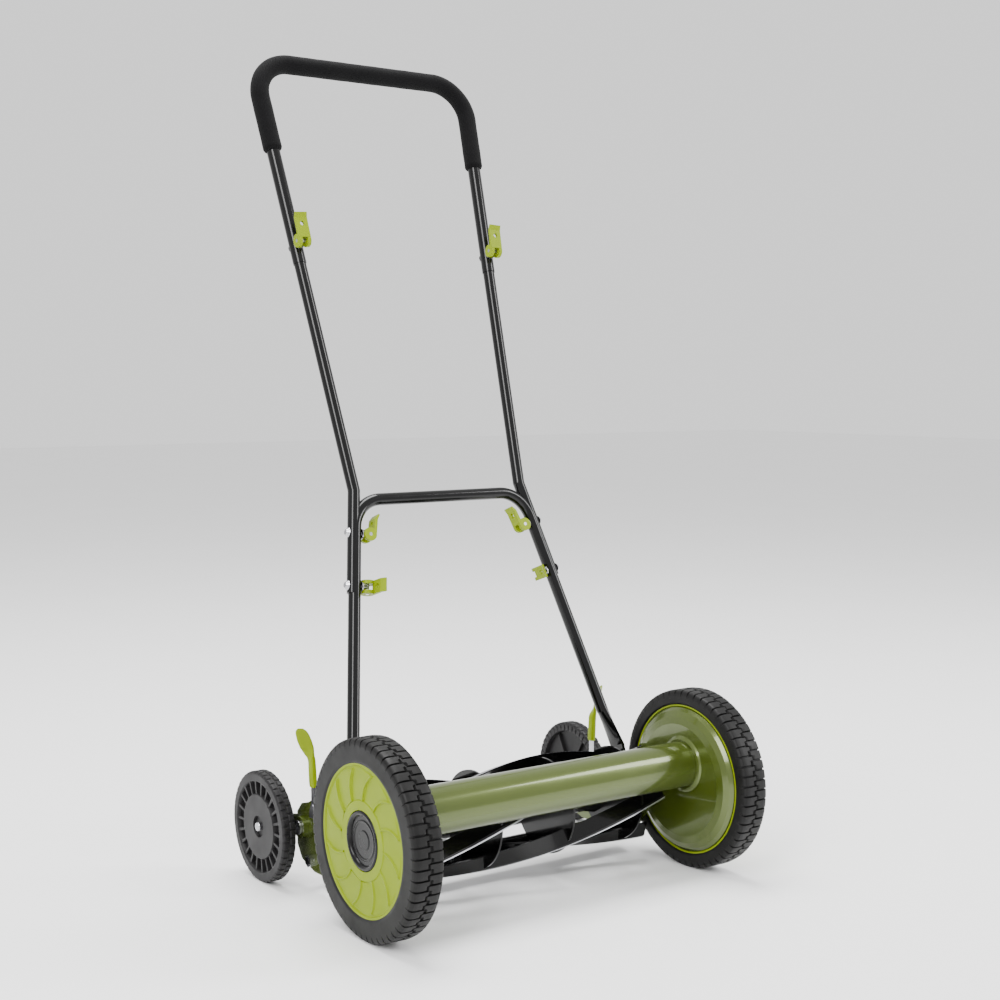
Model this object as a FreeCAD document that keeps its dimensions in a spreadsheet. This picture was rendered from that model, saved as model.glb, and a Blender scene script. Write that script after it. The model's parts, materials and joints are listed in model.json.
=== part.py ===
"""Reel mower: a push mower whose front wheels turn a five-bladed cutting reel.

Millimetres, +Z up, the handle towards +Y, the front towards -Y, the ground at Z = 0.
Left is -X and right is +X, as seen from the front.
The origin lies on the ground, under the middle of the whole mower's box.
Lengths along Y are measured from the front axle, and lengths along the handle
are measured up its slope from the point where its plane meets the ground.
"""
import FreeCAD, Part
import math
import os
import Sketcher

doc = FreeCAD.newDocument("ReelMower")
sheet = doc.addObject("Spreadsheet::Sheet", "Sizes")

DRIVING_SIZES = (
    # front wheels
    ("wheel_radius", 127), ("outer_face", 287.2), ("tyre_width", 42.8), ("tyre_chamfer", 3),
    ("disc_radius", 96.25), ("drum_radius", 105), ("drum_bore", 103), ("lip_radius", 106),
    ("cap_radius", 37.6), ("hub_radius", 15), ("axle_radius", 6.35), ("bush_wall", 3),
    # drive
    ("gear_module", 2), ("ring_teeth", 99), ("pinion_teeth", 11), ("gear_width", 14),
    ("pressure_angle", 20), ("backlash", 0.24), ("reel_drop", 27.7), ("running_gap", 0.05),
    # reel and bed knife
    ("blade_tip", 70.5), ("blade_root", 50), ("blade_lean", 35), ("blade_thick", 2.8),
    ("blade_half_length", 221.5), ("blade_count", 5), ("blade_twist", -113), ("blade_phase", 164),
    ("spider_radius", 67), ("spider_pitch", 122), ("shaft_radius", 5), ("bearing_radius", 18),
    ("bearing_sleeve", 11), ("knife_gap", 0.7), ("knife_thick", 3), ("knife_width", 33),
    # chassis
    ("tube_radius", 32), ("tube_wall", 2), ("tube_back", -8), ("tube_height", 152),
    ("dish_face", 235), ("dish_radius", 103), ("dish_sheet", 2.5), ("plate_thick", 3),
    ("tie_back", 222), ("tie_height", 38), ("adjuster_back", 141), ("adjuster_height", 46),
    # rear wheels and height adjustment
    ("rear_radius", 77), ("rear_axle_back", 289.9), ("rear_face", 282.3), ("rear_width", 20),
    ("arm_back", 238), ("arm_height", 82.5), ("arm_face", 236), ("arm_thick", 4),
    ("lever_back", 205), ("notch_radius", 34), ("notch_angle", 138), ("notch_step", 9),
    ("rear_axle_radius", 5),
    # handle
    ("handle_pitch", 71.02), ("handle_back", 74), ("leg_radius", 8.75), ("upper_radius", 9.75),
    ("upper_bore", 8.85), ("tube_sheet", 1.2), ("leg_slope", 11.66), ("arm_slope", 3.76),
    ("cross_along", 557), ("cross_half", 104), ("cross_bend", 48), ("crimp_offset", 2.4),
    ("grip_along", 1228), ("grip_half", 126), ("grip_bend", 56), ("grip_radius", 14),
    ("grip_end", 1084), ("upper_end", 910), ("mid_end", 426), ("socket_depth", 45),
    ("round_end", 222), ("tongue_start", 163), ("tongue_end", 114), ("tongue_wide", 27),
    ("tongue_thick", 5), ("tongue_face", 230.5), ("pivot_along", 132.2),
    # cam levers and their bolts
    ("cam_bolt_high", 510), ("cam_bolt_low", 436), ("cam_bolt_upper", 937), ("cam_radius", 9.5),
    ("cam_width", 19), ("cam_length", 28), ("cam_length_upper", 36), ("cam_sheet", 4),
    ("bolt_radius", 3), ("pin_radius", 2.5), ("washer_thick", 1.5), ("head_radius", 7),
    ("head_height", 4),
)


class Size:
    """A number together with the sheet formula that it comes from."""

    def __init__(self, value, text):
        self.value = float(value)
        self.text = text

    def __add__(self, other):
        other = as_size(other)
        return Size(self.value + other.value, f"({self.text} + {other.text})")

    def __sub__(self, other):
        other = as_size(other)
        return Size(self.value - other.value, f"({self.text} - {other.text})")

    def __mul__(self, other):
        other = as_size(other)
        return Size(self.value * other.value, f"({self.text} * {other.text})")

    def __truediv__(self, other):
        other = as_size(other)
        return Size(self.value / other.value, f"({self.text} / {other.text})")

    def __radd__(self, other):
        return as_size(other) + self

    def __rsub__(self, other):
        return as_size(other) - self

    def __rmul__(self, other):
        return as_size(other) * self

    def __neg__(self):
        return Size(-self.value, f"(-1 * {self.text})")


def as_size(number):
    """A plain number as a Size, and a Size as it is."""
    return number if isinstance(number, Size) else Size(number, repr(float(number)))


def cosine(angle):
    """The cosine of an angle in degrees."""
    return Size(math.cos(math.radians(angle.value)), f"cos({angle.text} * 1 deg)")


def sine(angle):
    """The sine of an angle in degrees."""
    return Size(math.sin(math.radians(angle.value)), f"sin({angle.text} * 1 deg)")


def tangent(angle):
    """The tangent of an angle in degrees."""
    return Size(math.tan(math.radians(angle.value)), f"tan({angle.text} * 1 deg)")


def root(number):
    """The square root."""
    return Size(math.sqrt(number.value), f"sqrt({number.text})")


class Sheet:
    """The driving sizes, each read as an attribute."""

    def __init__(self, rows):
        for row, (alias, number) in enumerate(rows, 1):
            sheet.set(f"A{row}", alias)
            sheet.set(f"B{row}", str(number))
            sheet.setAlias(f"B{row}", alias)
            setattr(self, alias, Size(number, f"Sizes.{alias}"))


size = Sheet(DRIVING_SIZES)
doc.recompute()

# Worked-out places
grip_back = size.handle_back + size.grip_along * cosine(size.handle_pitch) + size.grip_radius
axle_y = (size.wheel_radius - grip_back) / 2
centre_distance = size.gear_module * (size.ring_teeth - size.pinion_teeth) / 2
reel_y = root(centre_distance * centre_distance - size.reel_drop * size.reel_drop)
reel_z = size.wheel_radius - size.reel_drop
pivot_y = size.handle_back + size.pivot_along * cosine(size.handle_pitch)
pivot_z = size.pivot_along * sine(size.handle_pitch)
leg_half_at_cross = size.cross_half + size.cross_bend * tangent((90 - size.leg_slope) / 2)
arm_half_at_grip = size.grip_half + size.grip_bend * tangent((90 + size.arm_slope) / 2)
# the middle tubes bend where the line beside the legs meets the line of the upper arms
mid_bend = (
    leg_half_at_cross + size.crimp_offset / cosine(size.leg_slope)
    + size.cross_along * tangent(size.leg_slope) - arm_half_at_grip
    + size.grip_along * tangent(size.arm_slope)
) / (tangent(size.leg_slope) + tangent(size.arm_slope))
mid_bend_half = arm_half_at_grip - (size.grip_along - mid_bend) * tangent(size.arm_slope)
SIDES = (("left", -1), ("right", 1))

sub_parts = {}


def keep(feature, label):
    """Name a finished sub-part."""
    feature.Label = label
    sub_parts[label] = feature
    return feature


def bind(feature, prop, amount):
    """Tie one property to the sheet."""
    feature.setExpression(prop, as_size(amount).text)


def place(feature, x=0, y=0, z=0, turn=None):
    """Put a feature at a point measured from the front axle along Y."""
    spot = [as_size(x), axle_y + y, as_size(z)]
    base = FreeCAD.Vector(*(part.value for part in spot))
    feature.Placement = FreeCAD.Placement(base, turn or FreeCAD.Rotation())
    for axis, part in zip("xyz", spot):
        bind(feature, f"Placement.Base.{axis}", part)
    return feature


def new_body(label, x=0, y=0, z=0, turn=None):
    """An empty body at its place."""
    body = doc.addObject("PartDesign::Body", label)
    return place(body, x, y, z, turn)


def new_sketch(body, role, offset=0):
    """A sketch on one of the body's own origin planes, moved along its normal."""
    plane = next(item for item in body.Origin.OriginFeatures if item.Role == role)
    sketch = body.newObject("Sketcher::SketchObject", body.Label + "_sketch")
    sketch.AttachmentSupport = [(plane, "")]
    sketch.MapMode = "FlatFace"
    if isinstance(offset, Size):
        bind(sketch, "AttachmentOffset.Base.z", offset)
    return sketch


def pin_point(sketch, element, end, x, y):
    """Hold one point of a sketch at its distances from the origin."""
    for kind, amount in (("DistanceX", as_size(x)), ("DistanceY", as_size(y))):
        index = sketch.addConstraint(Sketcher.Constraint(kind, -1, 1, element, end, amount.value))
        sketch.setExpression(f"Constraints[{index}]", amount.text)


def draw_outline(sketch, points):
    """A closed outline of straight edges through points of two sizes each."""
    spots = [FreeCAD.Vector(as_size(x).value, as_size(y).value, 0) for x, y in points]
    first = sketch.GeometryCount
    count = len(spots)
    for index in range(count):
        sketch.addGeometry(Part.LineSegment(spots[index], spots[(index + 1) % count]))
    for index in range(count):
        following = first + (index + 1) % count
        sketch.addConstraint(Sketcher.Constraint("Coincident", first + index, 2, following, 1))
        pin_point(sketch, first + index, 1, *points[index])
    return sketch


def draw_circle(sketch, x, y, radius):
    """A circle of bound centre and radius."""
    radius = as_size(radius)
    centre = FreeCAD.Vector(as_size(x).value, as_size(y).value, 0)
    circle = Part.Circle(centre, FreeCAD.Vector(0, 0, 1), radius.value)
    element = sketch.addGeometry(circle)
    pin_point(sketch, element, 3, x, y)
    index = sketch.addConstraint(Sketcher.Constraint("Radius", element, radius.value))
    sketch.setExpression(f"Constraints[{index}]", radius.text)
    return sketch


def turned(label, profile, x=0, y=0, z=0):
    """A body turned about an axis along X; the profile gives places along X and radii."""
    body = new_body(label, x, y, z)
    sketch = draw_outline(new_sketch(body, "XY_Plane"), profile)
    revolution = body.newObject("PartDesign::Revolution", label + "_turned")
    revolution.Profile = sketch
    revolution.ReferenceAxis = (sketch, ["H_Axis"])
    revolution.Angle = 360
    return body


def padded(label, plane, outline, thickness, x=0, y=0, z=0, corner=0):
    """A plate cut to an outline, with its corners rounded."""
    body = new_body(label, x, y, z)
    sketch = draw_outline(new_sketch(body, plane), outline)
    pad = body.newObject("PartDesign::Pad", label + "_pad")
    pad.Profile = sketch
    bind(pad, "Length", thickness)
    doc.recompute()
    if corner:
        normal = sketch.Placement.Rotation.multVec(FreeCAD.Vector(0, 0, 1))
        edges = []
        for number, edge in enumerate(pad.Shape.Edges, 1):
            along = (edge.Vertexes[-1].Point - edge.Vertexes[0].Point).normalize()
            if abs(along.dot(normal)) > 0.99:
                edges.append(f"Edge{number}")
        fillet = body.newObject("PartDesign::Fillet", label + "_corners")
        fillet.Base = (pad, edges)
        bind(fillet, "Radius", corner)
    return body


ALONG_X = FreeCAD.Rotation(FreeCAD.Vector(0, 0, 1), FreeCAD.Vector(1, 0, 0))


RIVET_SPOTS = ((52, 150), (62, 88))


def ordered(one, other):
    """Two places along X, the lower first."""
    return sorted((as_size(one), as_size(other)), key=lambda item: item.value)


def rod(label, radius, start, end, y, z):
    """A round bar along X between two places."""
    cylinder = doc.addObject("Part::Cylinder", label)
    bind(cylinder, "Radius", radius)
    bind(cylinder, "Height", as_size(end) - start)
    return place(cylinder, start, y, z, ALONG_X)


def hex_nut(label, across, bore, thickness, x, y, z):
    """A hexagon nut whose axis lies along X."""
    prism = doc.addObject("Part::Prism", label + "_hexagon")
    prism.Polygon = 6
    bind(prism, "Circumradius", as_size(across) / 1.732)
    bind(prism, "Height", thickness)
    place(prism, x, y, z, ALONG_X)
    hole = rod(label + "_hole", bore, x - 1, as_size(x) + thickness + 1, y, z)
    return cut(label, prism, [hole])


def cut(label, base, tools):
    """A piece with others taken away from it."""
    tool = tools[0]
    if len(tools) > 1:
        tool = doc.addObject("Part::MultiFuse", label + "_tools")
        tool.Shapes = tools
    result = doc.addObject("Part::Cut", label)
    result.Base = base
    result.Tool = tool
    return result


def join(label, pieces):
    """Pieces made into one solid."""
    result = doc.addObject("Part::MultiFuse", label)
    result.Shapes = pieces
    result.Refine = True
    return result


def group(label, pieces):
    """Separate solids that share a node."""
    result = doc.addObject("Part::Compound", label)
    result.Links = pieces
    return keep(result, label)


# ---------------------------------------------------------------- front wheels

def front_wheel(name, side):
    """A spoked-look disc on a drum, with its tyre, ring gear, bush and cap."""
    face = size.outer_face
    inner = face - size.tyre_width
    web = face - 3
    cup_floor = face - 15
    flange = inner + 5
    wheel = (
        (cup_floor - 16, size.axle_radius + size.bush_wall), (cup_floor - 16, size.hub_radius),
        (cup_floor - 3, size.hub_radius + 2), (cup_floor - 3, size.cap_radius + 4),
        (web - 3.5, size.cap_radius + 6), (web - 3.5, size.drum_bore), (flange, size.drum_bore),
        (flange, size.lip_radius - 2.2), (flange - 3, size.lip_radius - 2.2),
        (flange - 3, size.lip_radius), (flange + 3, size.lip_radius),
        (flange + 3, size.drum_radius), (face - 4.2, size.drum_radius),
        (face - 4.2, size.disc_radius), (face - 1.3, size.disc_radius),
        (face - 1.3, size.disc_radius - 2.5), (web, size.disc_radius - 4),
        (web, size.cap_radius + 13.5), (face - 1.8, size.cap_radius + 12),
        (face - 1.8, size.cap_radius + 0.6), (cup_floor, size.cap_radius + 0.6),
        (cup_floor, size.axle_radius + size.bush_wall),
    )
    tyre = (
        (flange + 3, size.drum_radius), (flange + 3, size.lip_radius),
        (flange - 3, size.lip_radius), (inner, size.lip_radius + 2),
        (inner, size.wheel_radius - 2 * size.tyre_chamfer),
        (inner + size.tyre_chamfer, size.wheel_radius),
        (face - size.tyre_chamfer, size.wheel_radius),
        (face, size.wheel_radius - 2 * size.tyre_chamfer), (face, size.disc_radius + 1.3),
        (face - 1.3, size.disc_radius), (face - 4.2, size.disc_radius),
        (face - 4.2, size.drum_radius),
    )
    bush = (
        (cup_floor - 16, size.axle_radius + size.running_gap),
        (cup_floor - 16, size.axle_radius + size.bush_wall),
        (cup_floor, size.axle_radius + size.bush_wall),
        (cup_floor, size.axle_radius + size.running_gap),
    )
    cap_edge = face - 2.6
    cap = (
        (cap_edge - 9, size.cap_radius - 2), (cap_edge - 9, size.cap_radius),
        (cap_edge - 2, size.cap_radius), (cap_edge - 0.6, size.cap_radius - 0.8),
        (cap_edge, size.cap_radius - 2.6), (cap_edge - 0.8, size.cap_radius - 6),
        (cap_edge - 3, size.cap_radius - 8), (cap_edge - 3, 0),
        (cap_edge - 5, 0), (cap_edge - 5, size.cap_radius - 8), (cap_edge - 4, size.cap_radius - 5),
        (cap_edge - 4, size.cap_radius - 2),
    )
    for label, profile in (
        ("front_wheel", wheel), ("front_tyre", tyre), ("wheel_bush", bush), ("hub_cap", cap),
    ):
        mirrored = [(side * along, radius) for along, radius in profile]
        keep(turned(f"{label}_{name}", mirrored, z=size.wheel_radius), f"{label}_{name}")


def involute(angle):
    """The involute function of an angle in radians."""
    return math.tan(angle) - angle


def tooth_outline(teeth, module, pressure, low, high, widen, steps):
    """Points round a gear: each tooth's half angle shrinks with radius as its flank unrolls."""
    pitch_radius = module * teeth / 2
    base_radius = pitch_radius * math.cos(pressure)
    half_at_pitch = math.pi / (2 * teeth) + widen / (2 * pitch_radius)
    flank = []
    for step in range(steps):
        radius = low + (high - low) * step / (steps - 1)
        slope = math.acos(min(1, base_radius / radius))
        half = half_at_pitch + involute(pressure) - involute(slope)
        flank.append((radius, half))
    points = []
    for tooth in range(teeth):
        middle = 2 * math.pi * tooth / teeth
        for radius, half in flank:
            points.append((radius, middle - half))
        for radius, half in reversed(flank):
            points.append((radius, middle + half))
    return points


def toothed_prism(points, width):
    """A prism along X on a toothed outline given in polar form."""
    corners = [
        FreeCAD.Vector(0, radius * math.cos(angle), radius * math.sin(angle))
        for radius, angle in points
    ]
    outline = Part.makePolygon(corners + corners[:1])
    return Part.Face(outline).extrude(FreeCAD.Vector(width, 0, 0))


def gear_piece(label, shape, start, y, z, turn):
    """A toothed piece put on its axis, turned by an angle in degrees so that it is in mesh."""
    feature = doc.addObject("Part::Feature", label)
    feature.Shape = shape
    feature.Placement = FreeCAD.Placement(
        FreeCAD.Vector(start, y, z), FreeCAD.Rotation(FreeCAD.Vector(1, 0, 0), turn))
    return keep(feature, label)


def drive_gears(name, side):
    """The ring gear inside a front wheel and the pinion that it turns."""
    module = size.gear_module.value
    pressure = math.radians(size.pressure_angle.value)
    width = size.gear_width.value
    ring_teeth = int(size.ring_teeth.value)
    pinion_teeth = int(size.pinion_teeth.value)
    ring_pitch = module * ring_teeth / 2
    pinion_pitch = module * pinion_teeth / 2
    mesh_angle = math.degrees(math.atan2(-size.reel_drop.value, reel_y.value))
    middle = size.outer_face.value - size.tyre_width.value + 5 + 5 + width / 2
    start = side * middle - width / 2
    axis_x = FreeCAD.Vector(1, 0, 0)
    centre = FreeCAD.Vector(0, 0, 0)

    spaces = tooth_outline(
        ring_teeth, module, pressure, ring_pitch - 0.6 * module, ring_pitch + 1.25 * module,
        size.backlash.value, 5)
    ring = Part.makeCylinder(size.drum_bore.value, width, centre, axis_x)
    ring = ring.cut(toothed_prism(spaces, width))
    gear_piece(
        f"ring_gear_{name}", ring, start, axle_y.value, size.wheel_radius.value, mesh_angle)

    teeth = tooth_outline(
        pinion_teeth, module, pressure, pinion_pitch - 1.25 * module,
        pinion_pitch + module, -size.backlash.value, 8)
    bore = size.shaft_radius.value + size.running_gap.value
    pinion = toothed_prism(teeth, width).cut(Part.makeCylinder(bore, width, centre, axis_x))
    gear_piece(
        f"pinion_{name}", pinion, start, (axle_y + reel_y).value, reel_z.value, mesh_angle)


# --------------------------------------------------------------------- chassis

def side_cover(name, side):
    """The pressed dish that closes a front wheel from inside, with the tube's collar."""
    face = size.dish_face
    sheet_thick = size.dish_sheet
    radius = size.dish_radius
    dish = (
        (face, 0), (face, radius - 23), (face + 2, radius - 13), (face + 6, radius - 5),
        (face + 10, radius - 0.8), (face + 11.5, radius), (face + 13.5, radius),
        (face + 13.5, radius - sheet_thick), (face + 11.5, radius - sheet_thick),
        (face + 8.5, radius - 6), (face + 4.5, radius - 14),
        (face + sheet_thick, radius - 23), (face + sheet_thick, 0),
    )
    shell = turned(f"dish_{name}", [(side * along, r) for along, r in dish], z=size.wheel_radius)
    bead = (
        (face - 3, size.tube_radius + 0.3), (face - 3, size.tube_radius + 3),
        (face - 2, size.tube_radius + 5.5), (face, size.tube_radius + 8),
        (face, size.tube_radius + 0.3),
    )
    collar = turned(
        f"collar_{name}", [(side * along, r) for along, r in bead],
        y=size.tube_back, z=size.tube_height)
    low, high = ordered(side * (face - 6), side * (face + 20))
    holes = [
        rod(f"axle_hole_{name}", size.axle_radius, low, high, 0, size.wheel_radius),
        rod(f"bearing_hole_{name}", size.bearing_sleeve, low, high, reel_y, reel_z),
    ]
    for index, (y, z) in enumerate(RIVET_SPOTS):
        holes.append(rod(f"rivet_hole_{name}_{index}", 2.5, low, high, y, z))
    body = join(f"dish_and_collar_{name}", [shell, collar])
    keep(cut(f"side_cover_{name}", body, holes), f"side_cover_{name}")


def side_plate(name, side):
    """The flat steel plate that carries the bearing, knife, tie rod, handle and height lever."""
    start = side * size.dish_face - (size.plate_thick if side > 0 else 0)
    outline = (
        (44, 162), (44, 96), (72, 58), (98, 26), (150, 24), (215, 24), (250, 34), (263, 52),
        (263, 98), (250, 112), (222, 120), (198, 118), (160, 108), (134, 140), (104, 142),
        (78, 166),
    )
    plate = padded(f"plate_{name}", "YZ_Plane", outline, size.plate_thick, x=start, corner=5)
    low, high = start - 4, start + 8
    holes = [
        rod(f"plate_bearing_{name}", size.bearing_sleeve, low, high, reel_y, reel_z),
        rod(f"plate_pivot_{name}", 5, low, high, pivot_y, pivot_z),
        rod(f"plate_arm_{name}", 6, low, high, size.arm_back, size.arm_height),
        rod(f"plate_tie_{name}", 5, low, high, size.tie_back, size.tie_height),
        rod(f"plate_knife_{name}", 4, low, high, size.adjuster_back, size.adjuster_height),
        rod(f"plate_catcher_{name}", 4.25, low, high, 178, 66),
    ]
    for index, (y, z) in enumerate(RIVET_SPOTS):
        holes.append(rod(f"plate_rivet_{name}_{index}", 2.5, low, high, y, z))
    for step in range(-2, 3):
        turn = size.notch_angle + step * size.notch_step
        holes.append(rod(
            f"notch_{name}_{step + 2}", 2.6, low, high,
            size.arm_back + size.notch_radius * cosine(turn),
            size.arm_height + size.notch_radius * sine(turn)))
    keep(cut(f"side_plate_{name}", plate, holes), f"side_plate_{name}")


def front_tube():
    """The thick tube across the front, closed by the side covers."""
    ends = (-size.dish_face, size.dish_face)
    outer = rod("tube_outside", size.tube_radius, *ends, size.tube_back, size.tube_height)
    inside = rod("tube_inside", size.tube_radius - size.tube_wall, *ends,
                 size.tube_back, size.tube_height)
    keep(cut("front_tube", outer, [inside]), "front_tube")


def front_axles():
    """The stub that each front wheel turns on, swaged flush into the side cover."""
    for name, side in SIDES:
        floor = size.outer_face - 15
        seat = size.dish_face + size.dish_sheet
        stub = (
            (size.dish_face, 0), (size.dish_face, size.axle_radius), (seat, size.axle_radius),
            (seat, size.axle_radius + 5), (seat + 3.5, size.axle_radius + 5),
            (seat + 3.5, size.axle_radius), (floor + 0.4, size.axle_radius),
            (floor + 0.4, size.axle_radius + 5), (floor + 5.4, size.axle_radius + 5),
            (floor + 5.4, 0),
        )
        mirrored = [(side * along, radius) for along, radius in stub]
        keep(turned(f"front_axle_{name}", mirrored, z=size.wheel_radius), f"front_axle_{name}")


def cover_rivets():
    """The rivets that hold each side plate to its cover."""
    rivets = []
    for name, side in SIDES:
        for index, (y, z) in enumerate(RIVET_SPOTS):
            inner = size.dish_face - size.plate_thick
            outer = size.dish_face + size.dish_sheet
            spans = ((inner - 2, inner, 5), (inner, outer, 2.5), (outer, outer + 2, 5))
            pieces = []
            for part, (near, far, radius) in enumerate(spans):
                start, end = ordered(side * near, side * far)
                pieces.append(rod(f"rivet_{name}_{index}_{part}", radius, start, end, y, z))
            rivets.append(join(f"rivet_{name}_{index}", pieces))
    group("cover_rivets", rivets)


def reel_bearings():
    """The flanged bush that the reel shaft turns in, one in each side plate."""
    for name, side in SIDES:
        bore = size.shaft_radius + size.running_gap
        inner = size.dish_face - size.plate_thick
        profile = (
            (inner - 3, bore), (inner - 3, size.bearing_radius), (inner, size.bearing_radius),
            (inner, size.bearing_sleeve), (size.dish_face + 14, size.bearing_sleeve),
            (size.dish_face + 14, bore),
        )
        mirrored = [(side * along, radius) for along, radius in profile]
        label = f"reel_bearing_{name}"
        keep(turned(label, mirrored, y=reel_y, z=reel_z), label)


def knife_assembly():
    """The fixed bed knife, the angle bar that carries it, and their screws."""
    half = size.blade_half_length + 2
    lip_y = reel_y + (size.blade_tip + size.knife_gap) * cosine(as_size(75))
    top = reel_z - (size.blade_tip + size.knife_gap) * sine(as_size(75))
    heel_y = lip_y + size.knife_width
    knife = padded(
        "knife_blank", "YZ_Plane",
        ((lip_y, top), (lip_y, top - 1), (lip_y + 5, top - size.knife_thick),
         (heel_y, top - size.knife_thick), (heel_y, top)),
        2 * half, x=-half)
    screw_spots = [(step - 1.5) * 140 for step in range(4)]
    holes = []
    for index, spot in enumerate(screw_spots):
        hole = doc.addObject("Part::Cylinder", f"knife_hole_{index}")
        bind(hole, "Radius", 3)
        bind(hole, "Height", 14)
        holes.append(place(hole, spot, lip_y + 25, top - 6))
    keep(cut("bed_knife", knife, holes), "bed_knife")
    bar_half = size.dish_face - size.plate_thick
    bar = padded(
        "carrier_angle", "YZ_Plane",
        ((lip_y + 14, top), (lip_y + 14, top + 4), (heel_y, top + 4), (heel_y, top + 15),
         (heel_y + 4, top + 15), (heel_y + 4, top)),
        2 * bar_half, x=-bar_half)
    pieces = [bar]
    for name, side in SIDES:
        start, _end = ordered(side * bar_half, side * (bar_half - 3))
        pieces.append(padded(
            f"carrier_end_{name}", "YZ_Plane",
            ((lip_y + 14, top), (size.adjuster_back + 9, top),
             (size.adjuster_back + 9, size.adjuster_height + 8),
             (size.adjuster_back - 9, size.adjuster_height + 8)), 3, x=start))
        low, high = ordered(side * (bar_half - 8), side * (bar_half + 2))
        holes.append(rod(f"carrier_bolt_hole_{name}", 4, low, high,
                         size.adjuster_back, size.adjuster_height))
    keep(cut("knife_carrier", join("carrier_solid", pieces), holes), "knife_carrier")
    screws = []
    for index, spot in enumerate(screw_spots):
        head = doc.addObject("Part::Cylinder", f"knife_screw_head_{index}")
        bind(head, "Radius", 4.5)
        bind(head, "Height", 3)
        place(head, spot, lip_y + 25, top + 4)
        shank = doc.addObject("Part::Cylinder", f"knife_screw_shank_{index}")
        bind(shank, "Radius", 3)
        bind(shank, "Height", size.knife_thick + 4)
        place(shank, spot, lip_y + 25, top - size.knife_thick)
        screws.append(join(f"knife_screw_{index}", [head, shank]))
    group("knife_screws", screws)
    adjusters = []
    for name, side in SIDES:
        bolt = (
            (bar_half - 3, 0), (bar_half - 3, 4), (size.dish_face, 4), (size.dish_face, 7),
            (size.dish_face + 5, 7), (size.dish_face + 5, 0),
        )
        mirrored = [(side * along, radius) for along, radius in bolt]
        adjusters.append(turned(f"adjuster_{name}", mirrored, y=size.adjuster_back,
                                z=size.adjuster_height))
    group("knife_adjusters", adjusters)


def tie_rod():
    """The rear rod that holds the side plates apart, with a nut outside each."""
    y = size.tie_back
    z = size.tie_height
    shoulder = size.dish_face - size.plate_thick
    middle = rod("tie_middle", 7, -shoulder, shoulder, y, z)
    thread = rod("tie_thread", 5, -size.dish_face - 8, size.dish_face + 8, y, z)
    keep(join("rear_tie_rod", [middle, thread]), "rear_tie_rod")
    nuts = []
    for name, side in SIDES:
        start = side * size.dish_face - (0 if side > 0 else 6.5)
        nuts.append(hex_nut(f"tie_nut_{name}", 15, 5, 6.5, start, y, z))
    group("tie_rod_nuts", nuts)


# ------------------------------------------------------------------------ reel

def blade_section(along):
    """One cross-section of a helical blade: a strip leaning back from the radius."""
    span = 2 * size.blade_half_length.value
    turn = math.radians(size.blade_phase.value + size.blade_twist.value * along / span)
    tip = size.blade_tip.value
    thick = size.blade_thick.value
    root_radius = size.blade_root.value
    lean_back = math.radians(size.blade_lean.value)
    radial = FreeCAD.Vector(0, math.cos(turn), math.sin(turn))
    around = FreeCAD.Vector(0, -math.sin(turn), math.cos(turn))
    down = radial * -math.cos(lean_back) + around * -math.sin(lean_back)
    across = radial * math.sin(lean_back) + around * -math.cos(lean_back)
    edge = radial * tip
    depth = (tip - root_radius) / math.cos(lean_back)
    corners = (edge, edge + across * 0.6 + down * 0.5, edge + across * thick + down * 4,
               edge + across * thick + down * depth, edge + down * depth)
    place_x = FreeCAD.Vector(along, 0, 0)
    return Part.makePolygon([place_x + corner for corner in corners + corners[:1]])


def cutting_reel():
    """Shaft, four spiders and the helical blades that sit in the spiders' slots."""
    half = size.blade_half_length.value
    count = int(size.blade_count.value)
    centre = FreeCAD.Vector(0, 0, 0)
    axis_x = FreeCAD.Vector(1, 0, 0)
    axis_place = FreeCAD.Placement(
        FreeCAD.Vector(0, (axle_y + reel_y).value, reel_z.value), FreeCAD.Rotation())
    sections = [blade_section(-half + 2 * half * step / 12) for step in range(13)]
    blade = Part.makeLoft(sections, True, False)
    blades = []
    for index in range(count):
        turned_blade = blade.copy()
        turned_blade.rotate(centre, axis_x, 360 * index / count)
        blades.append(turned_blade)
    feature = doc.addObject("Part::Feature", "reel_blades")
    feature.Shape = Part.makeCompound(blades)
    feature.Placement = axis_place
    keep(feature, "reel_blades")
    spiders = []
    for index in range(4):
        middle = (index - 1.5) * size.spider_pitch
        hub = (
            (middle - 9, size.shaft_radius), (middle - 9, size.shaft_radius + 6),
            (middle - 1.5, size.shaft_radius + 8), (middle - 1.5, size.spider_radius),
            (middle + 1.5, size.spider_radius), (middle + 1.5, size.shaft_radius + 8),
            (middle + 9, size.shaft_radius + 6), (middle + 9, size.shaft_radius),
        )
        spider = turned(f"spider_{index + 1}", hub, y=reel_y, z=reel_z)
        doc.recompute()
        slots = doc.addObject("Part::Feature", f"spider_slots_{index + 1}")
        tools = []
        for blade_index in range(count):
            near = [blade_section(middle.value + offset) for offset in (-3, 3)]
            tool = Part.makeLoft(near, True, True).makeOffsetShape(0.12, 0.01)
            tool.rotate(centre, axis_x, 360 * blade_index / count)
            tools.append(tool)
        slots.Shape = Part.makeCompound(tools)
        slots.Placement = axis_place
        spiders.append(cut(f"slotted_spider_{index + 1}", spider, [slots]))
    group("reel_spiders", spiders)
    end = size.outer_face - size.tyre_width + 10 + size.gear_width + 4
    shaft = rod("reel_shaft", size.shaft_radius, -end, end, reel_y, reel_z)
    keep(shaft, "reel_shaft")
    clips = []
    for name, side in SIDES:
        start = side * (end - 2) - 0.6
        disc = rod(f"clip_disc_{name}", size.shaft_radius + 4, start, start + 1.2, reel_y, reel_z)
        hole = rod(f"clip_hole_{name}", size.shaft_radius, start - 1, start + 2.2, reel_y, reel_z)
        clips.append(cut(f"clip_{name}", disc, [hole]))
    group("pinion_clips", clips)


# --------------------------------------------- rear wheels and height adjustment

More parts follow.
